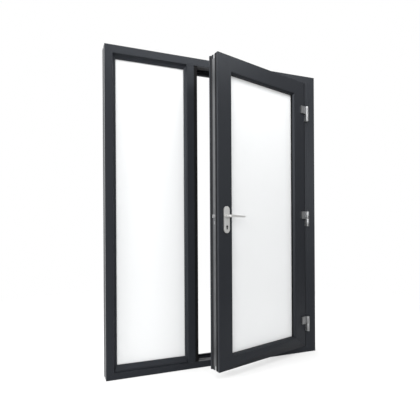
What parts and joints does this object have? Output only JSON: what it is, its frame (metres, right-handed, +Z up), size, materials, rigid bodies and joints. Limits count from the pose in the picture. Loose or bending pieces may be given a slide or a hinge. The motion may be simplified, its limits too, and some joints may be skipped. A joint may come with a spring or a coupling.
{
  "type": "casement window",
  "caption": "Tall aluminium casement window with a fixed light, a mullion and a side-hung leaf on barrel hinges, opened by a lever handle with a cylinder lock.",
  "frame": {"origin": "centre of the sill's underside, at mid depth of the frame", "axes": "+Z up; +X to the right as seen from the hinge side; -Y towards the side that the leaf opens to"},
  "size_m": [1.57, 0.4046, 2.1],
  "materials": {
    "grey_coating": "aluminium with a fine-texture anthracite powder coat, matt",
    "polyamide": "black glass-filled polyamide",
    "rubber_seal": "black EPDM",
    "glass": "pale, faintly milky float glass",
    "spacer_bar": "black warm-edge spacer",
    "packer_plastic": "moulded packer",
    "mill_aluminium": "mill finish",
    "handle_silver": "satin silver",
    "hinge_silver": "satin silver",
    "cylinder_dark": "dark nickel",
    "lock_case_zinc": "zinc-plated",
    "washer_plastic": "acetal",
    "lock_steel": "satin stainless steel",
    "faceplate_grey": "grey nickel plated steel"
  },
  "bodies": {
    "frame": {"head_front_profile": "grey_coating", "sill_front_profile": "grey_coating", "left_jamb_front_profile": "grey_coating", "right_jamb_front_profile": "grey_coating", "hinge_post_profile": "grey_coating", "mullion_front_profile": "grey_coating", "head_rear_profile": "grey_coating", "sill_rear_profile": "grey_coating", "left_jamb_rear_profile": "grey_coating", "right_jamb_rear_profile": "grey_coating", "mullion_rear_profile": "grey_coating", "frame_thermal_bars": "polyamide", "frame_corner_cleats": "mill_aluminium", "mullion_brackets": "mill_aluminium", "mullion_step_seal": "rubber_seal", "rebate_seal": "rubber_seal", "fixed_front_pane": "glass", "fixed_rear_pane": "glass", "fixed_spacer": "spacer_bar", "fixed_beads": "grey_coating", "fixed_front_gasket": "rubber_seal", "fixed_rear_gasket": "rubber_seal", "fixed_rear_adapters": "grey_coating", "fixed_setting_blocks": "packer_plastic", "strike_plate": "lock_steel", "shoot_bolt_keeps": "lock_steel", "hinge_frame_plates": "hinge_silver", "hinge_pins": "lock_steel", "hinge_washers": "washer_plastic"},
    "leaf": {"leaf_top_rail": "grey_coating", "leaf_bottom_rail": "grey_coating", "leaf_lock_stile": "grey_coating", "leaf_hinge_stile": "grey_coating", "leaf_rear_rails": "grey_coating", "leaf_rear_stiles": "grey_coating", "leaf_thermal_bars": "polyamide", "leaf_corner_cleats": "mill_aluminium", "leaf_lip_seal": "rubber_seal", "leaf_front_pane": "glass", "leaf_rear_pane": "glass", "leaf_spacer": "spacer_bar", "leaf_beads": "grey_coating", "leaf_front_gasket": "rubber_seal", "leaf_rear_gasket": "rubber_seal", "leaf_setting_blocks": "packer_plastic", "lock_case": "lock_case_zinc", "lock_case_cover": "lock_case_zinc", "lock_faceplate": "faceplate_grey", "faceplate_screws": "faceplate_grey", "cylinder_body": "cylinder_dark", "handle_plates": "handle_silver", "hinge_flags": "hinge_silver"},
    "handle": {"handle_front_lever": "handle_silver", "handle_rear_lever": "handle_silver", "lock_follower": "lock_steel"},
    "latch": {"latch_bolt": "lock_steel"},
    "dead_lock_bolt": {"dead_bolt": "lock_steel"},
    "upper_bolt": {"upper_shoot_bolt": "lock_steel"},
    "lower_bolt": {"lower_shoot_bolt": "lock_steel"},
    "key_plug": {"cylinder_plug": "cylinder_dark"}
  },
  "joints": [
    {"name": "sash_swing", "type": "hinge", "parent": "frame", "child": "leaf", "pos_m": [0.709, -0.067, 1.05], "axis": [0, 0, 1], "range_deg": [-17.35, 82.65]},
    {"name": "handle_turn", "type": "hinge", "parent": "leaf", "child": "handle", "pos_m": [-0.07214, -0.29638, 1.023], "axis": [-0.2982, 0.9545, 0], "range_deg": [0, 45], "stiffness_Nm_per_rad": 1.5, "springref_deg": -20.05},
    {"name": "latch_slide", "type": "slide", "parent": "leaf", "child": "latch", "axis": [0.9545, 0.2982, 0], "range_m": [0, 0.012]},
    {"name": "key_turn", "type": "hinge", "parent": "leaf", "child": "key_plug", "pos_m": [-0.07214, -0.29638, 0.957], "axis": [-0.2982, 0.9545, 0], "range_deg": [0, 360]},
    {"name": "dead_bolt_slide", "type": "slide", "parent": "leaf", "child": "dead_lock_bolt", "axis": [-0.9545, -0.2982, 0], "range_m": [0, 0.02]},
    {"name": "upper_bolt_slide", "type": "slide", "parent": "leaf", "child": "upper_bolt", "axis": [0, 0, 1], "range_m": [0, 0.02]},
    {"name": "lower_bolt_slide", "type": "slide", "parent": "leaf", "child": "lower_bolt", "axis": [0, 0, -1], "range_m": [0, 0.02]}
  ],
  "couplings": [
    {"joint": "latch_slide", "follows": "handle_turn", "m_per_rad": 0.015277},
    {"joint": "key_turn", "follows": "upper_bolt_slide", "rad_per_m": 314.13},
    {"joint": "dead_bolt_slide", "follows": "upper_bolt_slide", "ratio": 0.9999},
    {"joint": "lower_bolt_slide", "follows": "upper_bolt_slide", "ratio": 0.9999}
  ]
}
